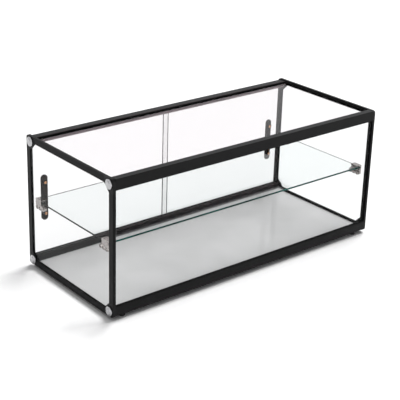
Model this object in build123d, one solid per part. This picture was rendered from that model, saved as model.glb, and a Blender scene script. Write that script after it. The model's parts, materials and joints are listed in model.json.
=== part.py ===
"""Countertop cake display case with two tiers, two end frames and two rear sliding glass doors.

Millimetres, +Z up.  Z = 0 is the underside of the feet, X runs along the width,
the front is at -Y, and the origin is in the middle of the plan.
Every piece of the real case is built by its own function and written to its own file.
"""
import os
from math import sqrt

from build123d import *

os.makedirs("parts", exist_ok=True)

# Overall sizes
frame_width = 900.0          # over the outer faces of the two end frames
frame_depth = 390.0          # over the front and rear posts
frame_height = 368.0         # of the end frames, without the feet
foot_drop = 8.0              # how far the feet reach below the end frames

# Glass
side_glass_thick = 5.0
front_glass_thick = 5.0
top_glass_thick = 5.0
shelf_glass_thick = 5.0
base_glass_thick = 4.0
door_glass_thick = 4.0

# Clearances
slot_clear = 0.05            # each side of a glass or tongue in an end-frame slot
edge_clear = 0.2             # glass edge to the piece beside it
bore_clear = 0.05            # radius: screw in the bore that holds it
pass_clear = 0.15            # radius: screw through a hole that it only passes
spigot_clear = 0.05          # radius: corner cap in its counterbore
shoe_clear = 0.1             # each side of a door shoe in its groove
shoe_lift = 0.05             # door shoe above the floor of its groove
shoe_grip = 0.0              # door glass in its shoe, each side

# Modelling allowances
overrun = 1.0                # a cutting shape runs past the face that it cuts
bite = 0.5                   # overlap where two parts of one piece are joined

# End-frame channels, open towards the middle of the end
channel_width = 17.0         # seen on the end of the case
channel_wall = 1.45          # each side of the slot
channel_web = 1.5            # along the outer edge

# Corner connectors
arm_length = 37.0            # from the outer edge to the start of the channel
corner_round = 8.0
core_edge = 5.5              # width of the solid core at the end of an arm
tongue_length = 14.0         # reach into the channel
glass_inset = 6.0            # side glass edge behind the outer edge of the frame
glass_corner_gap = 0.5       # square off the core to the cut corner of the side glass
screw_inset_z = 15.0         # corner screw from the top or bottom edge
screw_inset_front = 15.0     # corner screw from the front edge
screw_inset_rear = 19.25     # corner screw from the rear edge, middle of the rear tracks
seat_diameter = 28.0
seat_height = 1.0
counterbore_diameter = 13.0
counterbore_depth = 2.5      # below the outer face of the frame
counterbore_wall = 1.5       # solid core round the counterbore

# Corner screws and caps
screw_diameter = 4.0
screw_head_diameter = 9.0
screw_head_height = 3.0
screw_length = 26.0
screw_slot_width = 1.2
screw_slot_depth = 1.2
screw_tip = 0.5              # chamfer at the end of a shank
head_round = 0.45            # rounding of a head, as a share of its height
cap_diameter = 26.0
cap_height = 5.0
cap_flat = 12.0
cap_rim = 2.0
cap_crown_out = 1.2          # how far the crown bulges out from a straight cone
cap_crown_up = 0.7
cap_hollow_diameter = 9.6
cap_hollow_depth = 1.6
cap_spigot_length = 2.8

# Front rails
front_rail_depth = 19.0
front_rail_wall = 2.0
front_top_rail_height = 27.0
rail_lift = 4.7              # underside of the bottom rails above the frame underside
front_bottom_rail_top = 28.5  # above the frame underside
glass_setback = 4.5          # front glass behind the front face
packing_thick = 1.5          # soft strip behind the front glass
port_block = 8.0             # square-on depth of the screw port
port_low = 10.0              # screw port block, nearest face from the frame edge
port_high = 20.0             # screw port block, farthest face from the frame edge
pocket_end = 14.0            # end of the glass pocket from the frame edge
pocket_floor = 1.5
pocket_wall = 1.5
front_glass_top_gap = 1.0
gasket_proud = 3.0           # front gasket beyond the edge of its rail
gasket_lip_inset = 0.6       # front gasket lip behind the face of the rail
end_gasket_width = 4.0       # soft strip at each end of the front glass

# Ledges for the base and top glass
ledge_reach = 8.0
ledge_thick = 2.0
top_glass_drop = 6.5         # upper face of the top glass below the frame top

# Rear door tracks
rear_rail_setback = 9.0      # rear face of the tracks from the back of the frame
track_lip = 1.5
groove_width = 5.6
track_web = 6.3
rear_top_rail_drop = 2.5     # top of the top track below the frame top
rear_top_rail_height = 20.0
track_roof = 2.0
web_extra = 3.0              # web of the top track below its lips
rear_bottom_rail_top = 28.0  # above the frame underside
groove_floor = 18.0          # above the frame underside
groove_floor_thick = 2.0
rear_port_low = 11.0

# Gasket round the top glass
top_gasket_wall = 2.0
top_gasket_lip = 2.0
top_gasket_proud = 3.3

# Shelf
shelf_level = 190.0          # middle of the shelf above the frame underside
shelf_front_gap = 32.0       # front edge of the shelf behind the front face
shelf_rear_gap = 29.0        # rear edge of the shelf from the back of the frame
shelf_end_gap = 2.7          # shelf edge to the side glass

# Shelf clamps
clamp_inset = 48.0           # middle of a clamp from the front or back of the frame
clamp_length = 26.0          # of the plate and jaws, at the outer end of the row of barrels
clamp_end_inset = 0.5        # plate behind the outermost point of the end barrel
clamp_pad = 0.5              # bonding pad between clamp and side glass
clamp_pad_low = 6.5          # lower edge of the bonding pad above the screws
clamp_back = 2.0
clamp_block = 7.5            # depth of the barrels and the block over them, off the pad
clamp_bar_depth = 5.5        # bar that joins the three barrels
clamp_bar_height = 8.5       # above the screws
clamp_reach = 16.0           # depth of the jaws off the pad
clamp_lower_jaw = 3.8
clamp_upper_jaw = 4.0
clamp_round = 1.2
clamp_barrel = 12.0          # diameter
clamp_barrel_core_diameter = 7.5   # cored end of a barrel, at the wall
clamp_barrel_core_depth = 2.5
shelf_pad = 0.5
shelf_pad_length = 22.0
shelf_pad_width = 12.0
clamp_screw_pitch = 13.0
clamp_screw_level = 173.0    # above the frame underside
clamp_screw_diameter = 5.0
clamp_screw_head = 11.0
clamp_screw_head_height = 4.0
clamp_screw_round = 1.2
clamp_screw_length = 6.5
clamp_screw_socket = 5.0     # across the flats
clamp_screw_socket_depth = 2.5

# Feet
foot_diameter = 15.0
foot_from_end = 38.0
foot_from_front = 15.0
foot_edge = 1.5
foot_recess_diameter = 8.8
foot_recess_depth = 5.0
foot_screw_diameter = 4.0
foot_screw_head = 8.0
foot_screw_head_height = 2.6
foot_screw_length = 12.3

# Sliding doors
door_width = 445.0
door_low = 21.0              # lower glass edge above the frame underside
door_high = 353.0            # upper glass edge above the frame underside
door_end_gap = 2.0           # closed door to the end frame
right_door_open = 16.0       # how far the right door stands open at rest
shoe_length = 25.0
shoe_height = 6.0            # above the lower edge of the glass
shoe_from_edge = 40.0

# Door handles
handle_from_edge = 35.5      # middle of the handle from the outer edge of its door
handle_level = 182.5         # above the frame underside
handle_length = 130.0
handle_width = 20.0
handle_thick = 4.5
handle_edge = 0.8
handle_screw_pitch = 89.0
handle_scoop_length = 58.0
handle_scoop_width = 11.0
handle_scoop_depth = 2.0
handle_bore_depth = 3.7
door_hole_diameter = 5.4
washer_diameter = 16.0
washer_thick = 1.2
washer_edge = 0.5
door_screw_diameter = 4.0
door_screw_head = 8.0
door_screw_head_height = 1.6
door_screw_length = 8.6
door_screw_slot_depth = 0.7

# Places worked out from the sizes
end = frame_width / 2
front = -frame_depth / 2
back = frame_depth / 2
bottom = foot_drop
top = foot_drop + frame_height
end_thick = 2 * channel_wall + side_glass_thick + 2 * slot_clear
inner = end - end_thick                              # inner face of an end frame
slot_in = inner + channel_wall                       # slot, inner side
slot_out = end - channel_wall                        # slot, outer side
glass_in = slot_in + slot_clear                      # side glass, inner face
glass_out = slot_out - slot_clear                    # side glass, outer face
front_glass_y = front + glass_setback
front_glass_back = front_glass_y + front_glass_thick
pocket_back = front_glass_back + packing_thick
rear_rail_out = back - rear_rail_setback
rear_rail_in = rear_rail_out - 2 * track_lip - 2 * groove_width - track_web
outer_groove = rear_rail_out - track_lip - groove_width / 2
inner_groove = rear_rail_in + track_lip + groove_width / 2
web_in = inner_groove + groove_width / 2
web_out = outer_groove - groove_width / 2
rear_screw_y = back - screw_inset_rear
front_screw_y = front + screw_inset_front
base_low = bottom + rail_lift + ledge_thick
top_glass_high = top - top_glass_drop
top_glass_low = top_glass_high - top_glass_thick
core_radius = counterbore_diameter / 2 + counterbore_wall
core_reach = max(arm_length + core_edge,
                 screw_inset_z + max(screw_inset_front, screw_inset_rear)
                 + core_radius * sqrt(2))
glass_cut = core_reach + glass_corner_gap * sqrt(2)  # the two edge distances of the cut, added
shelf_low = bottom + shelf_level - shelf_glass_thick / 2
shelf_high = bottom + shelf_level + shelf_glass_thick / 2
shelf_end = glass_in - shelf_end_gap
clamp_face = glass_in - clamp_pad
door_end = inner - door_end_gap


def block(x0, x1, y0, y1, z0, z1):
    """Box between two opposite corners."""
    middle = Pos((x0 + x1) / 2, (y0 + y1) / 2, (z0 + z1) / 2)
    return middle * Box(x1 - x0, y1 - y0, z1 - z0)


def area(a0, a1, b0, b1):
    """Flat rectangle between two opposite corners."""
    return Pos((a0 + a1) / 2, (b0 + b1) / 2) * Rectangle(a1 - a0, b1 - b0)


def along_x(section, x0, x1):
    """Section drawn in Y and Z, run from x0 to x1."""
    return extrude(Plane.YZ.offset(x0) * section, amount=x1 - x0, dir=(1, 0, 0))


def rod_x(radius, x0, x1, y, z):
    """Round bar along X."""
    return along_x(Pos(y, z) * Circle(radius), x0, x1)


def rod_y(radius, y0, y1, x, z):
    """Round bar along Y."""
    bar = extrude(Circle(radius), amount=y1 - y0)
    return Pos(x, y0, z) * Rot(-90, 0, 0) * bar


def rod_z(radius, z0, z1, x, y):
    """Round bar along Z."""
    return Pos(x, y, z0) * extrude(Circle(radius), amount=z1 - z0)


def other_end(piece):
    """The same piece at the left end."""
    return mirror(piece, about=Plane.YZ)


def save(name, *solids):
    """Write one node; more than one solid makes a group of loose identical pieces."""
    pieces = [s for shape in solids for s in shape.solids()]
    shape = pieces[0] if len(pieces) == 1 else Compound(children=pieces)
    export_step(shape, f"parts/{name}.step")


def from_front(u):
    """Y at a distance behind the front face."""
    return front + u


def from_back(u):
    """Y at a distance in front of the back face."""
    return back - u


def from_bottom(v):
    """Z at a height above the underside of the end frames."""
    return bottom + v


def from_top(v):
    """Z at a depth below the top of the end frames."""
    return top - v


def strip(across, along, u0, u1, v0, v1):
    """Rectangle of a rail section, measured from the frame edges."""
    ys = sorted((across(u0), across(u1)))
    zs = sorted((along(v0), along(v1)))
    return area(ys[0], ys[1], zs[0], zs[1])


def slotted_bar(y0, y1, z0, z1, slot):
    """Right-end channel: a flat bar with the glass slot taken out of it."""
    return block(inner, end, y0, y1, z0, z1) - slot


def end_post(across):
    """Upright channel of the right end frame."""
    y0, y1 = sorted((across(0), across(channel_width)))
    s0, s1 = sorted((across(channel_web), across(channel_width + overrun)))
    z0, z1 = bottom + arm_length, top - arm_length
    slot = block(slot_in, slot_out, s0, s1, z0 - overrun, z1 + overrun)
    return slotted_bar(y0, y1, z0, z1, slot)


def end_channel(along):
    """Level channel of the right end frame."""
    z0, z1 = sorted((along(0), along(channel_width)))
    s0, s1 = sorted((along(channel_web), along(channel_width + overrun)))
    y0, y1 = front + arm_length, back - arm_length
    slot = block(slot_in, slot_out, y0 - overrun, y1 + overrun, s0, s1)
    return slotted_bar(y0, y1, z0, z1, slot)


def corner_connector(across, along, screw_y, screw_z):
    """Moulded corner of the right end frame with its gusset, tongues and cap seat."""
    def face(points):
        return Polygon(*[(across(u), along(v)) for u, v in points], align=None)
    w, a, e = channel_width, arm_length, core_edge
    plate = face([(0, 0), (a, 0), (a, w), (w, a), (0, a)])
    core = face([(0, 0), (a, 0), (a, e), (e, a), (0, a)])
    core += Pos(screw_y, screw_z) * Circle(core_radius)
    body = along_x(plate, inner, slot_in) + along_x(plate, slot_out, end)
    body += along_x(core, inner, end)
    t0, t1 = channel_web + slot_clear, core_edge
    reach = arm_length + tongue_length
    near = arm_length - overrun
    for u0, u1, v0, v1 in ((near, reach, t0, t1), (t0, t1, near, reach)):
        body += along_x(strip(across, along, u0, u1, v0, v1), glass_in, glass_out)
    corner = body.edges().filter_by(Axis.X).sort_by_distance((inner, across(0), along(0)))
    body = fillet(corner[0], corner_round)
    body += rod_x(seat_diameter / 2, end - overrun, end + seat_height, screw_y, screw_z)
    deep = end - counterbore_depth
    body -= rod_x(counterbore_diameter / 2, deep, end + seat_height, screw_y, screw_z)
    body -= rod_x(screw_diameter / 2 + pass_clear, inner, deep, screw_y, screw_z)
    return body


def slotted_screw(diameter, length, head, head_height, slot_width, slot_depth):
    """Screw pointing down -Z with the underside of its head at Z = 0."""
    shank = Pos(0, 0, -length / 2) * Cylinder(diameter / 2, length)
    shank = chamfer(shank.edges().sort_by(Axis.Z)[0], screw_tip)
    knob = Pos(0, 0, head_height / 2) * Cylinder(head / 2, head_height)
    knob = fillet(knob.edges().sort_by(Axis.Z)[-1], head_height * head_round)
    cut = Pos(0, 0, head_height - slot_depth / 2) * Box(head + overrun, slot_width, slot_depth)
    return shank + knob - cut


def corner_screw(y, z):
    """Screw through a right-end connector into the port of a rail."""
    screw = slotted_screw(screw_diameter, screw_length, screw_head_diameter,
                          screw_head_height, screw_slot_width, screw_slot_depth)
    return Pos(end - counterbore_depth, y, z) * Rot(0, 90, 0) * screw


def corner_cap(y, z):
    """Chromed cap with a flat top, pressed into the seat round a corner screw."""
    r, h, flat, rim = cap_diameter / 2, cap_height, cap_flat / 2, cap_rim
    outline = Line((0, 0), (r, 0)) + Line((r, 0), (r, rim))
    crown = ((r + flat) / 2 + cap_crown_out, (rim + h) / 2 + cap_crown_up)
    outline += ThreePointArc((r, rim), crown, (flat, h))
    outline += Line((flat, h), (0, h)) + Line((0, h), (0, 0))
    cap = revolve(Plane.XZ * make_face(outline), Axis.Z)
    spigot_radius = counterbore_diameter / 2 - spigot_clear
    cap += Pos(0, 0, -cap_spigot_length / 2) * Cylinder(spigot_radius, cap_spigot_length)
    hollow = cap_spigot_length + cap_hollow_depth
    lift = (cap_hollow_depth - cap_spigot_length) / 2
    cap -= Pos(0, 0, lift) * Cylinder(cap_hollow_diameter / 2, hollow)
    return Pos(end + seat_height, y, z) * Rot(0, 90, 0) * cap


def side_glass():
    """Right side glass with its corners cut back for the connectors."""
    i = glass_inset
    c = glass_cut - i
    points = [(from_front(i), bottom + c), (from_front(c), bottom + i),
              (from_back(c), bottom + i), (from_back(i), bottom + c),
              (from_back(i), top - c), (from_back(c), top - i),
              (from_front(c), top - i), (from_front(i), top - c)]
    return along_x(Polygon(*points, align=None), glass_in, glass_out)


def front_rail(along, face_end, ledge0, ledge1):
    """Front rail: face, closed edge, glass pocket, screw port and glass ledge."""
    depth, wall, low = front_rail_depth, front_rail_wall, edge_of(along)
    pocket = pocket_back - front

    def part(u0, u1, v0, v1):
        return strip(from_front, along, u0, u1, v0, v1)
    section = part(0, wall, low, face_end) + part(0, depth, low, low + wall)
    section += part(depth - wall, depth, low, port_high)
    section += part(depth - port_block, depth, port_low, port_high)
    section += part(wall - bite, pocket + bite, pocket_end - pocket_floor, pocket_end)
    section += part(pocket, pocket + pocket_wall, pocket_end - pocket_floor, face_end)
    section += part(depth - bite, depth + ledge_reach, ledge0, ledge1)
    port = Pos(front_screw_y, along(screw_inset_z)) * Circle(screw_diameter / 2 + bore_clear)
    return along_x(section - port, -inner, inner)


def edge_of(along):
    """Height of a rail's outer face from the frame edge it lies along."""
    return rail_lift if along is from_bottom else 0.0


def front_bottom_rail():
    """Lower front rail, bored for the screws of the front feet."""
    rail = front_rail(from_bottom, front_bottom_rail_top, rail_lift, rail_lift + ledge_thick)
    return bored_for_feet(rail, front + foot_from_front)


def front_top_rail():
    """Upper front rail with the ledge under the top glass."""
    ledge = top_glass_drop + top_glass_thick
    return front_rail(from_top, front_top_rail_height, ledge, ledge + ledge_thick)


def bored_for_feet(rail, y):
    """Holes in the floor of a bottom rail for two foot screws."""
    for x in (-end + foot_from_end, end - foot_from_end):
        low, high = bottom + rail_lift - overrun, base_low + overrun
        rail -= rod_z(foot_screw_diameter / 2 + bore_clear, low, high, x, y)
    return rail


def rear_bottom_track():
    """Lower rear rail with two grooves, a screw port and the base glass ledge."""
    def part(y0, y1, v0, v1):
        return area(y0, y1, from_bottom(v0), from_bottom(v1))
    a, b, lift, high = rear_rail_in, rear_rail_out, rail_lift, rear_bottom_rail_top
    section = part(a, a + track_lip, lift, high) + part(b - track_lip, b, lift, high)
    section += part(a - ledge_reach, b, lift, lift + ledge_thick)
    section += part(a, b, groove_floor - groove_floor_thick, groove_floor)
    section += part(web_in, web_out, groove_floor - bite, high)
    half = port_block / 2
    section += part(rear_screw_y - half, rear_screw_y + half, rear_port_low, groove_floor)
    bore = Circle(screw_diameter / 2 + bore_clear)
    section -= Pos(rear_screw_y, from_bottom(screw_inset_z)) * bore
    return bored_for_feet(along_x(section, -inner, inner), rear_screw_y)


def rear_top_track():
    """Upper rear rail with two grooves, a screw port in its web and the top glass ledge."""
    high = top - rear_top_rail_drop
    low = high - rear_top_rail_height
    a, b = rear_rail_in, rear_rail_out
    section = area(a, b, high - track_roof, high)
    section += area(a, a + track_lip, low, high) + area(b - track_lip, b, low, high)
    section += area(web_in, web_out, low - web_extra, high)
    section += area(a - ledge_reach, a + bite, top_glass_low - ledge_thick, top_glass_low)
    bore = Circle(screw_diameter / 2 + bore_clear)
    section -= Pos(rear_screw_y, from_top(screw_inset_z)) * bore
    return along_x(section, -inner, inner)


def front_glass_gasket(along, rail_end):
    """Soft strip between a front rail and the glass, with a lip over the rail's edge."""
    wall = front_rail_wall
    section = strip(from_front, along, wall, glass_setback, pocket_end, rail_end)
    lip_end = rail_end + gasket_proud
    section += strip(from_front, along, gasket_lip_inset, glass_setback, rail_end, lip_end)
    return along_x(section, -inner, inner)


def front_glass_packing(along, rail_end):
    """Soft strip behind the front glass in its pocket."""
    section = area(*sorted((front_glass_back, pocket_back)),
                   *sorted((along(pocket_end), along(rail_end))))
    return along_x(section, -inner, inner)


def front_glass():
    """Fixed glass across the front."""
    half = inner - end_gasket_width - edge_clear
    high = top - pocket_end - front_glass_top_gap
    return block(-half, half, front_glass_y, front_glass_back, bottom + pocket_end, high)


def front_glass_end_strip():
    """Soft strip between the right end of the front glass and the end frame."""
    high = top - pocket_end - front_glass_top_gap
    return block(inner - end_gasket_width, inner, front_glass_y, front_glass_back,
                 bottom + pocket_end, high)


def top_glass():
    """Fixed glass in the roof."""
    half = inner - top_gasket_wall - edge_clear
    y0 = front + front_rail_depth + edge_clear
    y1 = rear_rail_in - top_gasket_wall - edge_clear
    return block(-half, half, y0, y1, top_glass_low, top_glass_high)


def top_glass_gasket():
    """Soft edging round the rear and both ends of the top glass."""
    y0, y1, wall = front + front_rail_depth, rear_rail_in, top_gasket_wall
    z0, z1, z2 = top_glass_low, top_glass_high, top_glass_high + top_gasket_proud
    edging = block(-inner, inner, y0, y1, z0, z2)
    edging -= block(-inner + wall, inner - wall, y0 - overrun, y1 - wall, z0 - overrun, z1)
    lip = wall + top_gasket_lip
    return edging - block(-inner + lip, inner - lip, y0 - overrun, y1 - lip,
                          z0 - overrun, z2 + overrun)


def base_glass():
    """Painted glass floor of the lower tier, lying on the ledges of the bottom rails."""
    half = inner - edge_clear
    y0, y1 = front + front_rail_depth + edge_clear, rear_rail_in - edge_clear
    return block(-half, half, y0, y1, base_low, base_low + base_glass_thick)


def glass_shelf():
    """Middle shelf."""
    y0, y1 = front + shelf_front_gap, back - shelf_rear_gap
    return block(-shelf_end, shelf_end, y0, y1, shelf_low, shelf_high)


def clamp_span(y, outward):
    """Y of the two ends of the plate and jaws; outward is -1 at the front and 1 at the rear."""
    tip = y + outward * (clamp_screw_pitch + clamp_barrel / 2 - clamp_end_inset)
    return min(tip, tip - outward * clamp_length), max(tip, tip - outward * clamp_length)


def shelf_clamp(y, outward):
    """Right-side clamp: plate, two jaws round the shelf and three barrels for the screws."""
    y0, y1 = clamp_span(y, outward)
    level = bottom + clamp_screw_level
    jaw_low, jaw_high = shelf_low - shelf_pad, shelf_high + shelf_pad
    clamp = block(clamp_face - clamp_back, clamp_face, y0, y1, level, jaw_high + clamp_upper_jaw)
    clamp += block(clamp_face - clamp_block, clamp_face, y0, y1, level, jaw_low)
    jaw = clamp_face - clamp_reach
    clamp += block(jaw, clamp_face, y0, y1, jaw_low - clamp_lower_jaw, jaw_low)
    clamp += block(jaw, clamp_face, y0, y1, jaw_high, jaw_high + clamp_upper_jaw)
    clamp = fillet(clamp.edges().filter_by(Axis.Z).group_by(Axis.X)[0], clamp_round)
    clamp += block(clamp_face - clamp_bar_depth, clamp_face, y - clamp_screw_pitch,
                   y + clamp_screw_pitch, level, level + clamp_bar_height)
    for place in clamp_screw_places(y):
        clamp += rod_x(clamp_barrel / 2, clamp_face - clamp_block, clamp_face, *place)
    for place in clamp_screw_places(y):
        clamp -= rod_x(clamp_screw_diameter / 2 + bore_clear, clamp_face - clamp_block - overrun,
                       clamp_face - bite, *place)
        clamp -= rod_x(clamp_barrel_core_diameter / 2, clamp_face - clamp_barrel_core_depth,
                       clamp_face + overrun, *place)
    return clamp


def clamp_screw_places(y):
    """Y and Z of the three screws of a clamp."""
    level = bottom + clamp_screw_level
    return [(y + n * clamp_screw_pitch, level) for n in (-1, 0, 1)]


def clamp_screws(y):
    """The three socket screws in the barrels of a right-side clamp."""
    face = clamp_face - clamp_block
    screws = []
    for place in clamp_screw_places(y):
        screw = rod_x(clamp_screw_head / 2, face - clamp_screw_head_height, face, *place)
        screw = fillet(screw.edges().sort_by(Axis.X)[0], clamp_screw_round)
        screw += rod_x(clamp_screw_diameter / 2, face, face + clamp_screw_length, *place)
        socket = Pos(*place) * RegularPolygon(clamp_screw_socket / sqrt(3), 6)
        start = face - clamp_screw_head_height
        screw -= along_x(socket, start, start + clamp_screw_socket_depth)
        screws.append(screw)
    return screws


def clamp_wall_pad(y, outward):
    """Bonding pad between the plate of a right-side clamp and the side glass."""
    high = shelf_high + shelf_pad + clamp_upper_jaw
    low = bottom + clamp_screw_level + clamp_pad_low
    return block(clamp_face, glass_in, *clamp_span(y, outward), low, high)


def shelf_pads(y, outward):
    """Two pads between the shelf and the jaws of a right-side clamp."""
    x1 = shelf_end - edge_clear
    middle, half = sum(clamp_span(y, outward)) / 2, shelf_pad_length / 2
    return [block(x1 - shelf_pad_width, x1, middle - half, middle + half, z, z + shelf_pad)
            for z in (shelf_low - shelf_pad, shelf_high)]


def foot(x, y):
    """Round rubber foot with a recess for its screw."""
    high = bottom + rail_lift
    pad = rod_z(foot_diameter / 2, 0, high, x, y)
    pad = fillet(pad.edges().sort_by(Axis.Z)[0], foot_edge)
    pad -= rod_z(foot_recess_diameter / 2, -overrun, foot_recess_depth, x, y)
    return pad - rod_z(foot_screw_diameter / 2 + pass_clear, 0, high + overrun, x, y)


def foot_screw(x, y):
    """Screw up through a foot into the floor of a rail."""
    screw = slotted_screw(foot_screw_diameter, foot_screw_length, foot_screw_head,
                          foot_screw_head_height, screw_slot_width, screw_slot_depth)
    return Pos(x, y, foot_recess_depth) * Rot(180, 0, 0) * screw


def door_screw_levels():
    """Heights of the two screws of a door handle."""
    middle, half = bottom + handle_level, handle_screw_pitch / 2
    return middle - half, middle + half


def door_glass(x0, groove, handle_x):
    """Door glass with two holes for its handle screws."""
    y0, y1 = groove - door_glass_thick / 2, groove + door_glass_thick / 2
    glass = block(x0, x0 + door_width, y0, y1, bottom + door_low, bottom + door_high)
    for z in door_screw_levels():
        glass -= rod_y(door_hole_diameter / 2, y0 - overrun, y1 + overrun, handle_x, z)
    return glass


def door_handle(groove, handle_x):
    """Flat finger pull with round ends on the rear face of a door."""
    y0 = groove + door_glass_thick / 2
    straight = handle_length - handle_width
    centre = Pos(handle_x, y0, bottom + handle_level)
    plate = extrude(Rot(0, 0, 90) * SlotCenterToCenter(straight, handle_width),
                    amount=handle_thick)
    plate = chamfer(plate.edges().group_by(Axis.Z)[-1], handle_edge)
    scoop = extrude(Rot(0, 0, 90) * SlotOverall(handle_scoop_length, handle_scoop_width),
                    amount=handle_scoop_depth)
    plate -= Pos(0, 0, handle_thick - handle_scoop_depth) * scoop
    handle = centre * Rot(-90, 0, 0) * plate
    for z in door_screw_levels():
        handle -= rod_y(door_screw_diameter / 2 + bore_clear, y0 - overrun,
                        y0 + handle_bore_depth, handle_x, z)
    return handle


def door_washers(groove, handle_x):
    """Two round washers on the inner face of a door."""
    y1 = groove - door_glass_thick / 2
    washers = []
    for z in door_screw_levels():
        ring = rod_y(washer_diameter / 2, y1 - washer_thick, y1, handle_x, z)
        ring = chamfer(ring.edges().sort_by(Axis.Y)[0], washer_edge)
        hole = rod_y(door_screw_diameter / 2 + pass_clear, y1 - washer_thick - overrun,
                     y1 + overrun, handle_x, z)
        washers.append(ring - hole)
    return washers


def door_screws(groove, handle_x):
    """Two screws through washer and glass into the handle."""
    screw = slotted_screw(door_screw_diameter, door_screw_length, door_screw_head,
                          door_screw_head_height, screw_slot_width, door_screw_slot_depth)
    y = groove - door_glass_thick / 2 - washer_thick
    return [Pos(handle_x, y, z) * Rot(90, 0, 0) * screw for z in door_screw_levels()]


def door_shoe(groove, x):
    """Nylon shoe clipped over the lower edge of a door glass."""
    half = groove_width / 2 - shoe_clear
    glass_half = door_glass_thick / 2 + shoe_grip
    z0, z1 = bottom + groove_floor + shoe_lift, bottom + door_low
    x0, x1 = x - shoe_length / 2, x + shoe_length / 2
    shoe = block(x0, x1, groove - half, groove + half, z0, z1 + shoe_height)
    slot = block(x0 - overrun, x1 + overrun, groove - glass_half, groove + glass_half,
                 z1, z1 + shoe_height + overrun)
    return shoe - slot


def end_frames():
    """Both end frames with their connectors, screws, caps and glass."""
    corners = {"front_bottom": (from_front, from_bottom, front_screw_y),
               "front_top": (from_front, from_top, front_screw_y),
               "rear_bottom": (from_back, from_bottom, rear_screw_y),
               "rear_top": (from_back, from_top, rear_screw_y)}
    pieces = {"end_front_post": end_post(from_front), "end_rear_post": end_post(from_back),
              "end_top_channel": end_channel(from_top),
              "end_bottom_channel": end_channel(from_bottom), "side_glass": side_glass()}
    screws, caps = [], []
    for name, (across, along, y) in corners.items():
        z = along(screw_inset_z)
        pieces["connector_" + name] = corner_connector(across, along, y, z)
        screws.append(corner_screw(y, z))
        caps.append(corner_cap(y, z))
    for name, piece in pieces.items():
        save("right_" + name, piece)
        save("left_" + name, other_end(piece))
    for name, group in (("corner_screws", screws), ("corner_caps", caps)):
        save("right_" + name, *group)
        save("left_" + name, *[other_end(piece) for piece in group])


def long_pieces():
    """Rails, fixed glass and gaskets that run the width of the case."""
    save("front_bottom_rail", front_bottom_rail())
    save("front_top_rail", front_top_rail())
    save("rear_bottom_track", rear_bottom_track())
    save("rear_top_track", rear_top_track())
    save("front_glass", front_glass())
    save("top_glass", top_glass())
    save("base_glass", base_glass())
    save("glass_shelf", glass_shelf())
    save("front_glass_bottom_gasket", front_glass_gasket(from_bottom, front_bottom_rail_top))
    save("front_glass_top_gasket", front_glass_gasket(from_top, front_top_rail_height))
    save("front_glass_packing_strips", front_glass_packing(from_bottom, front_bottom_rail_top),
         front_glass_packing(from_top, front_top_rail_height))
    strip_right = front_glass_end_strip()
    save("front_glass_end_strips", strip_right, other_end(strip_right))
    save("top_glass_gasket", top_glass_gasket())


def shelf_mounting():
    """Four clamps with their screws and pads."""
    screws, wall_pads, pads = [], [], []
    for name, y, outward in (("front", front + clamp_inset, -1), ("rear", back - clamp_inset, 1)):
        clamp = shelf_clamp(y, outward)
        save("shelf_clamp_right_" + name, clamp)
        save("shelf_clamp_left_" + name, other_end(clamp))
        screws += clamp_screws(y)
        wall_pads.append(clamp_wall_pad(y, outward))
        pads += shelf_pads(y, outward)
    for name, group in (("shelf_clamp_screws", screws), ("shelf_clamp_wall_pads", wall_pads),
                        ("shelf_pads", pads)):
        save(name, *group, *[other_end(piece) for piece in group])


def feet():
    """Four feet and their screws under the bottom rails."""
    x = end - foot_from_end
    screws = []
    for name, y in (("front", front + foot_from_front), ("rear", rear_screw_y)):
        pad, screw = foot(x, y), foot_screw(x, y)
        save("foot_right_" + name, pad)
        save("foot_left_" + name, other_end(pad))
        screws += [screw, other_end(screw)]
    save("foot_screws", *screws)


def sliding_door(side, x0, groove, handle_x):
    """One door with its handle, washers, screws and shoes."""
    save(side + "_door_glass", door_glass(x0, groove, handle_x))
    save(side + "_door_handle", door_handle(groove, handle_x))
    save(side + "_door_handle_washers", *door_washers(groove, handle_x))
    save(side + "_door_handle_screws", *door_screws(groove, handle_x))
    save(side + "_door_left_shoe", door_shoe(groove, x0 + shoe_from_edge))
    save(side + "_door_right_shoe", door_shoe(groove, x0 + door_width - shoe_from_edge))


def doors():
    """Left door in the outer groove, right door in the inner groove."""
    sliding_door("left", -door_end, outer_groove, -door_end + handle_from_edge)
    edge = door_end - right_door_open
    sliding_door("right", edge - door_width, inner_groove, edge - handle_from_edge)


end_frames()
long_pieces()
shelf_mounting()
feet()
doors()
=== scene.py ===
# %% [markdown]
# # A countertop cake display case
# This lesson dresses a finished CAD model for a studio picture. The case has two black end frames,
# four long rails, clear glass walls, a glass shelf on chrome clamps and two sliding doors at the
# rear. The CAD gives every piece its true size and place. Blender adds what a drawing leaves out:
# eased edges, polished and moulded forms, and finishes that answer the light.

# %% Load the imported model
import bmesh
import bpy
import json
from math import cos, pi, radians, sin
from mathutils import Matrix, Vector


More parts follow.
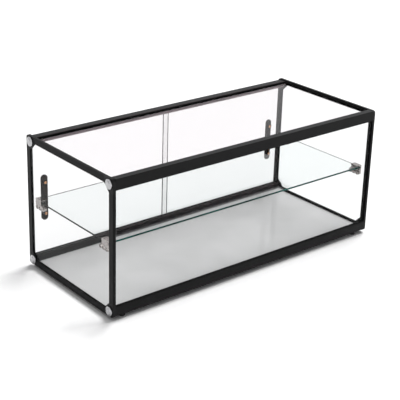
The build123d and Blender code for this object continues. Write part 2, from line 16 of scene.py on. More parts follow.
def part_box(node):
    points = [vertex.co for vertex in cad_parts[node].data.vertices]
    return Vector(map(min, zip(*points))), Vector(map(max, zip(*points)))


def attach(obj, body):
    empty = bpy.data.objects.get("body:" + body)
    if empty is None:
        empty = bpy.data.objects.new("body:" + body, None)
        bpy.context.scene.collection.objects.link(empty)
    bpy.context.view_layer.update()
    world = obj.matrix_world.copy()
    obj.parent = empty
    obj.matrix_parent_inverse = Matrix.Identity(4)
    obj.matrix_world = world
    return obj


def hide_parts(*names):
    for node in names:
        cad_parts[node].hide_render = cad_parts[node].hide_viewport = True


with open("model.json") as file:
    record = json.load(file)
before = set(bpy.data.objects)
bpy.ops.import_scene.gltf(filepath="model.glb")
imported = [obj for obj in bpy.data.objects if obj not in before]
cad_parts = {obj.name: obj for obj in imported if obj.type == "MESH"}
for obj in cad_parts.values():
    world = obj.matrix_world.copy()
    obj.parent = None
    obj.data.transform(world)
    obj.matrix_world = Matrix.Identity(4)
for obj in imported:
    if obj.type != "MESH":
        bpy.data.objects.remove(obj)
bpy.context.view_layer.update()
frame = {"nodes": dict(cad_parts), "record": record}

nodes = frame["nodes"]

# %% [markdown]
# ## The camera
# The picture is a square of 400 by 400. Its vanishing lines give a long lens, a view from the
# front left and a slight roll. An edge of the picture was trimmed, so the lens axis isn't at its
# middle. The camera could be pointed a little aside instead, but then the edges would run together
# at other places. The lens shift puts the axis back and leaves the perspective as it is.

# %% Camera
picture = 400
focal_px = 1108.5
axis_px = Vector((180.0, 165.0))
sensor = 36.0
camera_place = (-1.8318, -2.1614, 1.3510)
turn, tilt, roll = radians(38.81), radians(21.26), radians(1.365)

ahead = Vector((sin(turn) * cos(tilt), cos(turn) * cos(tilt), -sin(tilt)))
right = ahead.cross(Vector((0, 0, 1))).normalized()
up = right.cross(ahead)
rolled_right = cos(roll) * right + sin(roll) * up
rolled_up = -sin(roll) * right + cos(roll) * up

lens = bpy.data.cameras.new("studio_camera")
camera = bpy.data.objects.new("studio_camera", lens)
bpy.context.scene.collection.objects.link(camera)
camera.matrix_world = (
    Matrix.Translation(camera_place)
    @ Matrix((rolled_right, rolled_up, -ahead)).transposed().to_4x4()
)
lens.sensor_width = sensor
lens.lens = focal_px * sensor / picture
lens.shift_x = (picture / 2 - axis_px.x) / picture
lens.shift_y = (axis_px.y - picture / 2) / picture
lens.clip_start, lens.clip_end = 0.05, 60.0
bpy.context.scene.camera = camera
print("lens", round(lens.lens, 2), "mm, shift", round(lens.shift_x, 3), round(lens.shift_y, 3))

# %% [markdown]
# ## The studio
# A product like this stands on a plain white sweep under soft light, and a studio sets big white
# screens round glass. Screens could be modelled, but they would have to stand round every view.
# The sky can be the screen instead: nearly white at the horizon and a little darker overhead.

# %% Sky colour
world = bpy.data.worlds.new("studio_sky")
bpy.context.scene.world = world
world.use_nodes = True
sky = world.node_tree
sky.nodes.clear()
sky_out = sky.nodes.new("ShaderNodeOutputWorld")
sky_light = sky.nodes.new("ShaderNodeBackground")
sky_place = sky.nodes.new("ShaderNodeTexCoord")
sky_split = sky.nodes.new("ShaderNodeSeparateXYZ")
sky_ramp = sky.nodes.new("ShaderNodeValToRGB")
sky.links.new(sky_place.outputs["Generated"], sky_split.inputs[0])
sky.links.new(sky_split.outputs["Z"], sky_ramp.inputs["Fac"])
sky.links.new(sky_ramp.outputs["Color"], sky_light.inputs["Color"])
sky.links.new(sky_light.outputs[0], sky_out.inputs["Surface"])
horizon, zenith = sky_ramp.color_ramp.elements
horizon.position, horizon.color = 0.0, (1.0, 1.0, 1.01, 1)
zenith.position, zenith.color = 0.8, (0.85, 0.85, 0.86, 1)
bpy.context.scene.view_settings.view_transform = "Standard"
print("sky from", round(horizon.color[0], 2), "at the horizon to", round(zenith.color[0], 2))

# %% [markdown]
# A sky so white would also wash the shadows out. Blender tells a shader what kind of ray has
# reached it, so the sky is dim for the rays that light a matt surface, and white where it is seen:
# straight on, in a mirror image, or through glass before any matt surface.

# %% Sky power
sky_as_lamp, sky_as_screen = 0.33, 1.0
half_a_bounce = 0.5
sky_ray = sky.nodes.new("ShaderNodeLightPath")
sky_power = sky.nodes.new("ShaderNodeMapRange")
sky_power.inputs["To Min"].default_value = sky_as_lamp
sky_power.inputs["To Max"].default_value = sky_as_screen


def sky_math(operation, first, second):
    """One step of arithmetic between two ray facts, or a ray fact and a number."""
    step = sky.nodes.new("ShaderNodeMath")
    step.operation = operation
    sky.links.new(first, step.inputs[0])
    if isinstance(second, float):
        step.inputs[1].default_value = second
    else:
        sky.links.new(second, step.inputs[1])
    return step.outputs[0]


undimmed = sky_math("LESS_THAN", sky_ray.outputs["Diffuse Depth"], half_a_bounce)
through_glass = sky_math("MULTIPLY", sky_ray.outputs["Is Transmission Ray"], undimmed)
mirrored = sky_math("ADD", sky_ray.outputs["Is Glossy Ray"], sky_ray.outputs["Is Camera Ray"])
seen = sky_math("ADD", mirrored, through_glass)
sky.links.new(seen, sky_power.inputs["Value"])
sky.links.new(sky_power.outputs["Result"], sky_light.inputs["Strength"])
print("sky power", sky_as_lamp, "as a lamp,", sky_as_screen, "where it is seen")


# %% [markdown]
# A softbox near the case would leave the far floor grey, so the light comes from two very soft
# suns, which reach every part of the floor alike: a wide one overhead, and a steep one from the
# right that lays a short shadow along the left edge. Neither is seen in mirror images, because a
# disc of sun in a flat pane would read as a stain.

# %% Soft suns
def soft_sun(name, towards, width, power):
    """A sun that shines along a direction; width is its angle in the sky, in degrees."""
    data = bpy.data.lights.new(name, "SUN")
    data.energy, data.angle = power, radians(width)
    sun = bpy.data.objects.new(name, data)
    bpy.context.scene.collection.objects.link(sun)
    sun.visible_glossy = sun.visible_transmission = False
    sun.rotation_mode = "QUATERNION"
    sun.rotation_quaternion = Vector(towards).to_track_quat("-Z", "Y")
    print("sun", name, power)


soft_sun("overhead_sun", towards=(0.1, 0.15, -1), width=100, power=0.5)
soft_sun("right_sun", towards=(-0.42, -0.08, -0.90), width=28, power=3.0)

# %% [markdown]
# ## Finishes
# Each finish is a small node tree round one Principled shader. Values that are the same all over
# are set on the shader itself, so a short helper starts a material with them and returns both.

# %% Start a finish
MM = 0.001


def new_finish(name, colour, roughness, metallic=0.0, specular=0.5):
    """Starts a material with one Principled shader."""
    finish = bpy.data.materials.new(name)
    finish.use_nodes = True
    shader = finish.node_tree.nodes["Principled BSDF"]
    shader.inputs["Base Color"].default_value = (*colour, 1)
    shader.inputs["Roughness"].default_value = roughness
    shader.inputs["Metallic"].default_value = metallic
    shader.inputs["Specular IOR Level"].default_value = specular
    return finish, shader


# %% [markdown]
# No real surface is perfectly even. Painted image textures could show that, but they fix a scale
# and need unwrapping, while noise on Object coordinates is the right size on every piece. One
# helper adds such a noise, and three others let it drive colour, roughness or a fine bump.

# %% Noise
def object_noise(finish, size, stretch=(1, 1, 1), detail=3.0):
    """Noise on Object coordinates; size is one blotch in metres."""
    tree = finish.node_tree
    place = tree.nodes.new("ShaderNodeTexCoord")
    mapping = tree.nodes.new("ShaderNodeMapping")
    noise = tree.nodes.new("ShaderNodeTexNoise")
    mapping.inputs["Scale"].default_value = stretch
    noise.inputs["Scale"].default_value = 1 / size
    noise.inputs["Detail"].default_value = detail
    tree.links.new(place.outputs["Object"], mapping.inputs["Vector"])
    tree.links.new(mapping.outputs["Vector"], noise.inputs["Vector"])
    return noise.outputs["Fac"]


# %% What a noise can drive
noise_low, noise_high = 0.3, 0.7


def spread(finish, value, low, high):
    """Maps the useful middle of a noise to the range low to high."""
    node = finish.node_tree.nodes.new("ShaderNodeMapRange")
    node.inputs["From Min"].default_value = noise_low
    node.inputs["From Max"].default_value = noise_high
    node.inputs["To Min"].default_value = low
    node.inputs["To Max"].default_value = high
    finish.node_tree.links.new(value, node.inputs["Value"])
    return node.outputs["Result"]


def vary_tone(finish, shader, value, dark, light):
    """Lets a noise move the base colour between two tones."""
    tree = finish.node_tree
    node = tree.nodes.new("ShaderNodeMix")
    node.data_type = "RGBA"
    node.inputs["A"].default_value = (*dark, 1)
    node.inputs["B"].default_value = (*light, 1)
    tree.links.new(spread(finish, value, 0, 1), node.inputs["Factor"])
    tree.links.new(node.outputs["Result"], shader.inputs["Base Color"])


def vary_roughness(finish, shader, value, low, high):
    """Lets a noise move the roughness between two values."""
    finish.node_tree.links.new(spread(finish, value, low, high), shader.inputs["Roughness"])


def bump(finish, shader, value, depth, strength=1.0):
    """Raises the surface by a noise; depth is in metres."""
    node = finish.node_tree.nodes.new("ShaderNodeBump")
    node.inputs["Strength"].default_value = strength
    node.inputs["Distance"].default_value = depth
    finish.node_tree.links.new(value, node.inputs["Height"])
    finish.node_tree.links.new(node.outputs["Normal"], shader.inputs["Normal"])


# %% [markdown]
# Black anodised aluminium is drawn through a die, so faint lines run along each bar. Fine grooves
# could be modelled, but they are thinner than a hair. The noise is squeezed along the bar's length
# and left fine across it, which gives the same sheen. Three copies serve bars that run along X, Y
# and Z.

# %% Anodised aluminium
line_pitch, line_depth, along_bar = 0.7 * MM, 0.015 * MM, 0.03


def anodised(name, along, shine):
    """Satin black metal with drawing lines along one axis."""
    finish, shader = new_finish(name, (0.003, 0.003, 0.0034), roughness=0.4, specular=shine)
    stretch = tuple(along_bar if axis == along else 1.0 for axis in "XYZ")
    lines = object_noise(finish, line_pitch, stretch, detail=2.0)
    cloud = object_noise(finish, size=40 * MM)
    vary_tone(finish, shader, cloud, (0.002, 0.002, 0.0023), (0.0042, 0.0042, 0.0046))
    vary_roughness(finish, shader, lines, low=0.32, high=0.46)
    bump(finish, shader, lines, depth=line_depth, strength=0.5)
    print("finish", name)
    return finish


anodised_x = anodised("black_anodised_across", "X", shine=0.12)
anodised_y = anodised("black_anodised_deep", "Y", shine=0.07)
anodised_z = anodised("black_anodised_upright", "Z", shine=0.09)

# %% [markdown]
# The corner connectors are moulded plastic with a fine spark texture, left by the mould. The
# gaskets and feet are rubber, duller and without any clear mirror image, with a little dust in
# the one and fine pores in the other. The shoes are dark nylon. All are one shader with a fine
# noise, and only its size and depth differ.

# %% Plastics and rubber
moulded, shader = new_finish("moulded_black", (0.004, 0.004, 0.0045), roughness=0.5, specular=0.16)
grain = object_noise(moulded, size=0.35 * MM, detail=1.0)
vary_roughness(moulded, shader, grain, low=0.42, high=0.6)
bump(moulded, shader, grain, depth=0.02 * MM, strength=0.6)

gasket_black, shader = new_finish(
    "gasket_black", (0.005, 0.005, 0.005), roughness=0.75, specular=0.15)
dust = object_noise(gasket_black, size=9 * MM)
vary_tone(gasket_black, shader, dust, (0.003, 0.003, 0.003), (0.008, 0.008, 0.008))
matt_skin = object_noise(gasket_black, size=0.5 * MM)
bump(gasket_black, shader, matt_skin, depth=0.03 * MM, strength=0.5)

foot_black, shader = new_finish("foot_rubber", (0.012, 0.012, 0.012), roughness=0.7, specular=0.3)
pores = object_noise(foot_black, size=0.8 * MM)
vary_tone(foot_black, shader, pores, (0.008, 0.008, 0.008), (0.02, 0.02, 0.02))
bump(foot_black, shader, pores, depth=0.05 * MM, strength=0.6)

nylon, shader = new_finish("shoe_nylon", (0.02, 0.02, 0.02), roughness=0.45)
bump(nylon, shader, object_noise(nylon, size=0.6 * MM), depth=0.02 * MM, strength=0.4)
print("soft finishes", *(finish.name for finish in (moulded, gasket_black, foot_black, nylon)))

# %% [markdown]
# The handles are smooth dark brown plastic. Years of fingers leave the sheen uneven, so the
# roughness follows a soft cloud and the brown has a faint lighter marbling.

# %% Handle plastic
handle_brown, shader = new_finish(
    "handle_brown", (0.03, 0.02, 0.016), roughness=0.35, specular=0.12)
marble = object_noise(handle_brown, size=14 * MM, stretch=(1, 1, 0.4))
vary_tone(handle_brown, shader, marble, (0.009, 0.005, 0.004), (0.028, 0.016, 0.012))
vary_roughness(handle_brown, shader, marble, low=0.3, high=0.45)
skin_grain = object_noise(handle_brown, size=0.5 * MM)
bump(handle_brown, shader, skin_grain, depth=0.01 * MM, strength=0.4)
print("handle finish", handle_brown.name)


# %% [markdown]
# Chrome mirrors the room. Its roughness is uneven, from polishing and cleaning cloths. The small
# castings of the clamps mirror dark and light things side by side, which a plain studio lacks, so
# their colour carries a painted reflection: two tones that lie far apart. On the caps and screws
# the two tones lie close, a faint random unevenness. The copper-brown and zinc-plated screws are
# made the same way with their own colours.

# %% Bright metals
def bright_metal(name, colour, low, high, size, dark_tone_share=0.88):
    """Polished metal with clouds of shine and tone; the last argument is the darkest tone's share,
    and a low one paints a reflection of dark things.
    """
    finish, shader = new_finish(name, colour, low, metallic=1.0)
    cloud = object_noise(finish, size)
    vary_roughness(finish, shader, cloud, low, high)
    vary_tone(finish, shader, cloud, tuple(c * dark_tone_share for c in colour), colour)
    bump(finish, shader, object_noise(finish, size=2.5 * MM), depth=0.02 * MM, strength=0.35)
    print("finish", name)
    return finish


cap_chrome = bright_metal("cap_chrome", (0.44, 0.44, 0.45), low=0.14, high=0.32, size=4 * MM)
# The clamps' far-apart tones are a painted reflection of dark and light things beside them.
clamp_chrome = bright_metal(
    "clamp_chrome", (0.64, 0.59, 0.57), low=0.06, high=0.18, size=4 * MM, dark_tone_share=0.2)
# The cores' dark colour is painted shade, the shade inside the holes.
clamp_core_painted_shade = bright_metal("clamp_core_painted_shade", (0.10, 0.085, 0.08), low=0.4, high=0.6, size=3 * MM)
copper_screw = bright_metal(
    "handle_screw_copper", (0.78, 0.42, 0.22), low=0.18, high=0.32, size=3 * MM)
zinc_screw = bright_metal("screw_zinc", (0.55, 0.56, 0.58), low=0.25, high=0.4, size=3 * MM)


# %% [markdown]
# Glass needs a real thickness, which the CAD panes have: the light bends on the way in and back on
# the way out. For rays that only ask how much lamp light arrives, each pane is a plain filter, so
# the inside of the case is lit evenly and without speckles. The walls, roof and doors are as clear
# as in a studio picture, where glare is kept off the glass, and that takes a weaker bend and less
# sheen than real glass has. The shelf is seen at a slant, so it keeps nearly the whole bend.

# %% Clear glass
def pane_glass(name, tint, passes, ior, haze=0.015, sheen=0.2):
    """Clear glass with faint wipe marks; passes is the share of lamp light let through."""
    finish, shader = new_finish(name, tint, haze)
    shader.inputs["Transmission Weight"].default_value = 1.0
    shader.inputs["IOR"].default_value = ior
    shader.inputs["Specular Tint"].default_value = (sheen, sheen, sheen, 1)
    tree = finish.node_tree
    marks = object_noise(finish, size=60 * MM, stretch=(1, 1, 2.2), detail=4.0)
    vary_roughness(finish, shader, marks, low=0.0, high=haze)
    filter_shader = tree.nodes.new("ShaderNodeBsdfTransparent")
    filter_shader.inputs["Color"].default_value = (passes, passes, passes, 1)
    ray = tree.nodes.new("ShaderNodeLightPath")
    mixer = tree.nodes.new("ShaderNodeMixShader")
    tree.links.new(ray.outputs["Is Shadow Ray"], mixer.inputs["Fac"])
    tree.links.new(shader.outputs["BSDF"], mixer.inputs[1])
    tree.links.new(filter_shader.outputs["BSDF"], mixer.inputs[2])
    tree.links.new(mixer.outputs["Shader"], tree.nodes["Material Output"].inputs["Surface"])
    print("glass", name)
    return finish


wall_glass = pane_glass("wall_glass", (0.92, 0.925, 0.925), passes=0.995, ior=1.12)
roof_glass = pane_glass("roof_glass", (0.91, 0.89, 0.90), passes=0.995, ior=1.13)
shelf_glass = pane_glass("shelf_glass", (0.95, 0.975, 0.97), passes=0.97, ior=1.4)
door_glass = pane_glass("door_glass", (0.88, 0.877, 0.88), passes=0.995, ior=1.12)


# %% [markdown]
# Edges are where glass shows its own colour, because the eye looks along the whole sheet. They
# could be left to the light that runs inside the pane, but that takes very many samples. A dark
# opaque finish with two close tones reads the same: dark green on the shelf and mauve brown on the
# doors. Along the shelf's front the glass's own green is painted far brighter, a teal that is
# painted light: the glow of the light that runs out of the pane there.

# %% Cut edges
def cut_edge(name, deep, pale):
    """The polished edge of a pane, where the eye looks along the whole sheet."""
    finish, shader = new_finish(name, deep, roughness=0.12, specular=0.1)
    vary_tone(finish, shader, object_noise(finish, size=90 * MM), deep, pale)
    bump(finish, shader, object_noise(finish, size=1.5 * MM), depth=0.02 * MM, strength=0.3)
    print("edge", name)
    return finish


shelf_edge = cut_edge("shelf_edge", (0.0004, 0.001, 0.0009), (0.001, 0.005, 0.004))
# The front edge's bright teal is painted light over the glass's own green.
shelf_front_edge = cut_edge("shelf_front_edge", (0.001, 0.014, 0.012), (0.006, 0.09, 0.075))
door_edge = cut_edge("door_edge", (0.014, 0.008, 0.009), (0.04, 0.028, 0.030))

# %% [markdown]
# The clamps are bonded to the end panes with soft tape, which shows through the glass as a pale
# pinkish patch behind the chrome.

# %% Soft pads
soft_pad, shader = new_finish("soft_pad", (0.55, 0.51, 0.50), roughness=0.45, specular=0.3)
tape = object_noise(soft_pad, size=4 * MM)
vary_tone(soft_pad, shader, tape, (0.38, 0.35, 0.34), (0.60, 0.56, 0.55))
bump(soft_pad, shader, object_noise(soft_pad, size=0.8 * MM), depth=0.03 * MM, strength=0.4)
print("pad finish", soft_pad.name)

# %% [markdown]
# The base pane is painted pale grey on its underside, so it is not seen through, but keeps the
# deep gloss of glass. A clear coat over a matt base gives that: the coat mirrors, the base shows
# the paint, and a faint cloud keeps the paint from being perfectly flat.

# %% Base finish
base_panel, shader = new_finish(
    "base_painted_glass", (0.49, 0.49, 0.49), roughness=0.6, specular=0.0)
shader.inputs["Coat Weight"].default_value = 0.5
shader.inputs["Coat Roughness"].default_value = 0.06
paint = object_noise(base_panel, size=120 * MM)
vary_tone(base_panel, shader, paint, (0.46, 0.46, 0.46), (0.52, 0.52, 0.52))
float_wave = object_noise(base_panel, size=30 * MM)
bump(base_panel, shader, float_wave, depth=0.03 * MM, strength=0.2)
print("base finish", base_panel.name)


# %% [markdown]
# ## Easing the CAD pieces
# A CAD solid has knife-sharp edges, and its mesh is loose triangles. Real extrusions and
# mouldings have edges rounded by a few tenths of a millimetre, and that thin round is what catches
# the light. Each piece could be modelled again with round edges, but its true shape is already
# there. So a copy of a node is merged, its flat triangles are dissolved into whole faces, and a
# narrow bevel is applied to the sharp edges. The copy then stands for the node.

# %% Selection and naming helpers
def select_only(piece):
    """Leaves one object selected and active."""
    bpy.ops.object.select_all(action="DESELECT")
    piece.select_set(True)
    bpy.context.view_layer.objects.active = piece


def use_finishes(piece, *finishes):
    """Gives a piece its materials, the first one for every face."""
    piece.data.materials.clear()
    for finish in finishes:
        piece.data.materials.append(finish)


def select_faces(piece, test):
    """In edit mode, selects only the faces whose centre and normal pass a test."""
    bpy.ops.mesh.select_mode(type="FACE")
    bpy.ops.mesh.select_all(action="DESELECT")
    shape = bmesh.from_edit_mesh(piece.data)
    for face in shape.faces:
        face.select_set(bool(test(face.calc_center_median(), face.normal)))
    bmesh.update_edit_mesh(piece.data)


def join_case(piece, body, slot, *replaced):
    """Hangs a piece on its body and hides the nodes that it stands for; slot is not used."""
    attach(piece, body)
    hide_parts(*replaced)


slot_of = {part["node"]: part["material_slot"] for part in frame["record"]["subparts"]}
body_of = {node: body for body, group in frame["record"]["behaviour"]["bodies"].items()
           for node in group}

# %% Rounding helpers
merge_reach, flat_turn = 1e-6, radians(0.4)


def round_edges(piece, width, segments, turn_angle):
    """Applies a bevel to the edges that turn by more than an angle."""
    soften = piece.modifiers.new("soften", "BEVEL")
    soften.width, soften.segments = width, segments
    soften.limit_method, soften.angle_limit = "ANGLE", radians(turn_angle)
    soften.use_clamp_overlap = True
    bpy.ops.object.modifier_apply(modifier="soften")


def shade(piece, turn_angle):
    """Smooth shading that keeps broad faces flat: they outweigh the narrow rounds beside them."""
    bpy.ops.object.shade_smooth_by_angle(angle=radians(turn_angle))
    even = piece.modifiers.new("even", "WEIGHTED_NORMAL")
    even.keep_sharp = True
    bpy.ops.object.modifier_apply(modifier="even")


def eased(node, finish, width, segments=2, turn_angle=35):
    """A merged copy of a node with its sharp edges rounded."""
    piece = bpy.data.objects.new(node + ".eased", nodes[node].data.copy())
    bpy.context.scene.collection.objects.link(piece)
    select_only(piece)
    use_finishes(piece, finish)
    bpy.ops.object.mode_set(mode="EDIT")
    bpy.ops.mesh.select_all(action="SELECT")
    bpy.ops.mesh.remove_doubles(threshold=merge_reach)
    bpy.ops.mesh.dissolve_limited(angle_limit=flat_turn)
    bpy.ops.object.mode_set(mode="OBJECT")
    if width:
        round_edges(piece, width, segments, turn_angle)
    shade(piece, turn_angle)
    join_case(piece, body_of[node], slot_of[node], node)
    return piece


# %% [markdown]
# The width of the round tells how a piece was made. A drawn bar is crisp, a moulded corner or
# gasket is softer, and a turned screw head is sharpest. One loop serves both ends of the case.

# %% Rails, posts, channels and connectors
bar_round = 0.35 * MM
for node in ("front_top_rail", "front_bottom_rail", "rear_top_track", "rear_bottom_track"):
    eased(node, anodised_x, bar_round)
for side in ("left", "right"):
    for post in ("front_post", "rear_post"):
        eased(f"{side}_end_{post}", anodised_z, bar_round)
    for channel in ("top_channel", "bottom_channel"):
        eased(f"{side}_end_{channel}", anodised_y, bar_round)
    for corner in ("front_bottom", "front_top", "rear_bottom", "rear_top"):
        eased(f"{side}_connector_{corner}", moulded, width=0.5 * MM)
    eased(f"{side}_door_handle_washers", moulded, width=0.3 * MM)
    eased(f"{side}_door_handle_screws", copper_screw, width=0.15 * MM)
for end in ("left_front", "left_rear", "right_front", "right_rear"):
    eased(f"foot_{end}", foot_black, width=0.4 * MM)
eased("shelf_clamp_screws", clamp_chrome, width=0.35 * MM)
for node in ("front_glass_bottom_gasket", "front_glass_top_gasket", "top_glass_gasket"):
    eased(node, gasket_black, width=0.5 * MM)


# %% [markdown]
# Some faces of one casting have a finish of their own. The barrels of the shelf clamps are cored
# at the wall, and the cores are painted dark as painted shade, the shade that falls in a hole:
# they read as dark eyes in bright rings. A face is picked by where it lies and which way it looks,
# so no face number has to be known.

# %% Shelf clamps with painted shade in their cores
def second_finish(piece, finish, test):
    """Gives the faces whose centre and normal pass a test another finish."""
    piece.data.materials.append(finish)
    index = len(piece.data.materials) - 1
    chosen = [face for face in piece.data.polygons if test(face.center, face.normal)]
    for face in chosen:
        face.material_index = index
    print(piece.name, "second finish on", len(chosen), "faces")


clamp_y = 147 * MM
barrel_pitch, barrel_level, core_radius = 13 * MM, 181 * MM, 3.9 * MM
clamp_face, core_depth, skin = 443 * MM, 2.6 * MM, 0.02 * MM


def in_core(centre, barrel_y):
    """Whether a face is inside the cored end of one of a clamp's three barrels."""
    off = [(centre.y - barrel_y - n * barrel_pitch) ** 2 + (centre.z - barrel_level) ** 2
           for n in (-1, 0, 1)]
    sunk = clamp_face - core_depth < abs(centre.x) < clamp_face - skin
    return sunk and min(off) < core_radius ** 2


for side in ("left", "right"):
    for place, barrel_y in (("front", -clamp_y), ("rear", clamp_y)):
        clamp = eased(f"shelf_clamp_{side}_{place}", clamp_chrome, width=0.5 * MM)
        # The core faces take the painted shade.
        second_finish(clamp, clamp_core_painted_shade, lambda centre, normal: in_core(centre, barrel_y))

# %% [markdown]
# The inner face of the upper door track shows mauve brown under the glass roof. That colour is a
# painted reflection: the pale veil that the roof glass lays over the black face. A strip of its
# own would fight with the face that it lies on, so the face itself gets the painted colour, below
# the level of the roof.

# %% Painted reflection on the upper track
# Painted reflection: this mauve brown stands for the roof glass's veil over the black track.
track_painted_veil, shader = new_finish("track_painted_veil", (0.28, 0.21, 0.23), roughness=0.55, specular=0.1)
streaks = object_noise(track_painted_veil, size=25 * MM, stretch=(0.2, 1, 1))
vary_tone(track_painted_veil, shader, streaks, (0.25, 0.185, 0.205), (0.31, 0.235, 0.255))
fibres = object_noise(track_painted_veil, size=0.8 * MM)
bump(track_painted_veil, shader, fibres, depth=0.02 * MM, strength=0.4)

# The painted reflection covers the innermost wall of the track, below the roof.
veil_reach = 8.2 * MM
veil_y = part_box("rear_top_track")[0][1] + veil_reach
roof_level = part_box("top_glass")[1][2]
second_finish(bpy.data.objects["rear_top_track.eased"], track_painted_veil,
              lambda centre, normal: normal.y < -0.9 and centre.y < veil_y
              and centre.z < roof_level)

# %% [markdown]
# ## Corner caps
# Each corner screw hides under a round chrome cap: a low rim, a cone and a flat face that is a
# little dished. It could be spun from a drawn profile. Here one cap is modelled on the origin from
# a cylinder, facing up, which is quicker for so plain a form. The upper face is inset for the rim,
# drawn up and narrowed for the cone, and inset again for the dish.

# %% One cap
cap_radius, cap_rim, cap_height, cap_flat = 13 * MM, 2.0 * MM, 5.1 * MM, 6.2 * MM
cap_shoulder, dish_margin, dish_depth, cap_round = 0.7 * MM, 0.9 * MM, 0.3 * MM, 0.3 * MM


def finish_model(piece, width, segments=3, turn_angle=30):
    """Rounds a model's sharp edges and shades it."""
    select_only(piece)
    round_edges(piece, width, segments, turn_angle)
    shade(piece, turn_angle)


bpy.ops.object.select_all(action="DESELECT")
bpy.ops.mesh.primitive_cylinder_add(vertices=64, radius=cap_radius, depth=cap_rim,
                                    location=(0, 0, cap_rim / 2))
cap = bpy.context.active_object
bpy.ops.object.transform_apply(location=True, rotation=True, scale=True)
bpy.ops.object.mode_set(mode="EDIT")
select_faces(cap, lambda centre, normal: normal.z > 0.9)
bpy.ops.mesh.inset(thickness=cap_shoulder)
bpy.ops.mesh.extrude_region_move(TRANSFORM_OT_translate={"value": (0, 0, cap_height - cap_rim)})
narrow = cap_flat / (cap_radius - cap_shoulder)
bpy.ops.transform.resize(value=(narrow, narrow, 1), center_override=(0, 0, cap_height))
bpy.ops.mesh.inset(thickness=dish_margin)
bpy.ops.transform.translate(value=(0, 0, -dish_depth))
bpy.ops.object.mode_set(mode="OBJECT")
finish_model(cap, cap_round)
print("cap faces", len(cap.data.polygons))


# %% [markdown]
# The cap is copied to the four corners of each end. Each copy has its own mesh, and the mesh is
# turned and moved, not the object, which stays at the origin as the CAD nodes do. The four are
# then joined, because the CAD has them as one node.

# %% Caps in place
def copies(model, name, places):
    """One object with a copy of a model's mesh at each place."""
    group = []
    for place in places:
        piece = bpy.data.objects.new(name, model.data.copy())
        piece.data.transform(place)
        bpy.context.scene.collection.objects.link(piece)
        group.append(piece)
    select_only(group[0])
    for piece in group:
        piece.select_set(True)
    bpy.ops.object.join()
    return group[0]


cap_seat_x, cap_seats_y, cap_seats_z = 451 * MM, (-180 * MM, 175.75 * MM), (23 * MM, 361 * MM)
for side, way in (("left", -1), ("right", 1)):
    turned = Matrix.Rotation(way * pi / 2, 4, "Y")
    places = [Matrix.Translation((way * cap_seat_x, y, z)) @ turned
              for y in cap_seats_y for z in cap_seats_z]
    caps = copies(cap, f"{side}_caps_turned", places)
    use_finishes(caps, cap_chrome)
    join_case(caps, "case", "cap_chrome", f"{side}_corner_caps")
    print(caps.name, "caps", len(places))
bpy.data.objects.remove(cap)

# %% [markdown]
# ## Door handles
# A handle is a moulded plate. Its rear face has a scoop for the fingers, and the face against the
# glass is hollow, so that only a rim and the screw bosses touch the pane. Seen through the glass
# from the front, that rim is the dark outline of the handle. The scoop is in the CAD plate, so a
# merged copy of it is kept, and its glass-side face is inset with a small depth.

# %% Handle plates
rim_width, hollow_depth, handle_round = 1.8 * MM, 0.6 * MM, 0.35 * MM
for side in ("left", "right"):
    handle = eased(f"{side}_door_handle", handle_brown, width=0)
    bpy.ops.object.mode_set(mode="EDIT")
    select_faces(handle, lambda centre, normal: normal.y < -0.99)
    bpy.ops.mesh.inset(thickness=rim_width, depth=-hollow_depth)
    bpy.ops.object.mode_set(mode="OBJECT")
    finish_model(handle, handle_round)
    print(handle.name, "faces", len(handle.data.polygons))


# %% [markdown]
# ## Panes with open edges
# The shelf and the doors show their cut edges, and the edge of the roof pane is bedded in black
# rubber. Each of these panes is a merged copy with a tiny arris along its edges, and its edge
# faces get the finish of a cut edge. The least false curve in a pane bends all that is seen
# through it, so the broad faces are shaded flat and the stored normals are cleared. The greatest
# lean of a shading normal is then measured, and it has to be nought.

# %% Shelf, doors and roof
arris, square_on = 0.3 * MM, 0.95


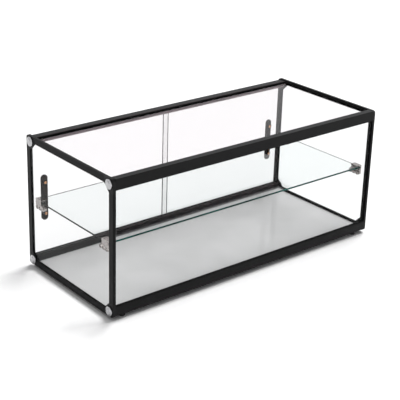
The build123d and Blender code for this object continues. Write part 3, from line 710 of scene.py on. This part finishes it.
def edged_pane(node, face_finish, edge_finish, axis):
    """A pane whose narrow faces have the finish of a cut edge; axis is its thickness."""
    pane = eased(node, face_finish, arris, segments=1)
    use_finishes(pane, face_finish, edge_finish)
    broad = [face for face in pane.data.polygons if abs(face.normal[axis]) > square_on]
    for face in pane.data.polygons:
        face.material_index = 1
    for face in broad:
        face.material_index = 0
        face.use_smooth = False
    select_only(pane)
    bpy.ops.mesh.customdata_custom_splitnormals_clear()
    lean = max((Vector(pane.data.corner_normals[corner].vector) - face.normal).length
               for face in pane.data.polygons if face.material_index == 0
               for corner in face.loop_indices)
    print(pane.name, "greatest lean of a shading normal", round(lean, 4))
    return pane


shelf = edged_pane("glass_shelf", shelf_glass, shelf_edge, axis=2)
second_finish(shelf, shelf_front_edge, lambda centre, normal: normal.y < -0.5)
edged_pane("left_door_glass", door_glass, door_edge, axis=1)
edged_pane("right_door_glass", door_glass, door_edge, axis=1)
edged_pane("top_glass", roof_glass, gasket_black, axis=2)

# %% [markdown]
# ## Pads
# The pads lie face to face with glass, and two faces in one plane hide each other at random. The
# panes could be moved, but their place is the CAD's. So the pads are copied and shrunk by a hair,
# and then both the glass and the pad are seen.

# %% Pads a hair smaller
hair = 0.08 * MM
for node in ("shelf_clamp_wall_pads", "shelf_pads"):
    pad = eased(node, soft_pad, width=0)
    bpy.ops.object.mode_set(mode="EDIT")
    bpy.ops.mesh.select_all(action="SELECT")
    bpy.ops.transform.shrink_fatten(value=-hair, use_even_offset=True)
    bpy.ops.object.mode_set(mode="OBJECT")
    print(pad.name, "faces", len(pad.data.polygons))

# %% [markdown]
# ## What stays as it is
# The wall panes, the painted base, the strips round the front pane, the hidden screws and the door
# shoes are plain forms whose edges sit in a groove or a bore. Their nodes stay, and only get their
# finish.

# %% Finishes for the nodes that stay
kept = {"case_glass": wall_glass, "base_glass": base_panel, "gasket_rubber": gasket_black,
        "screw_steel": zinc_screw, "shoe_nylon": nylon}
staying = [node for node, piece in nodes.items() if not piece.hide_render]
for node in staying:
    use_finishes(nodes[node], kept[slot_of[node]])
print("kept nodes", len(staying))

# %% [markdown]
# ## The floor
# A studio sweep curves up behind the product. Here the floor is simply wide enough to reach past
# every view, in matt white paper, and the white sky takes over behind it.

# %% Floor
floor_size = 40
bpy.ops.object.select_all(action="DESELECT")
bpy.ops.mesh.primitive_plane_add(size=floor_size, location=(0, 0, 0))
floor = bpy.context.active_object
floor.name = "white_sweep"
paper, shader = new_finish("white_paper", (0.97, 0.97, 0.97), roughness=0.9, specular=0.1)
use_finishes(floor, paper)
print("floor", floor.name, floor_size, "m wide")
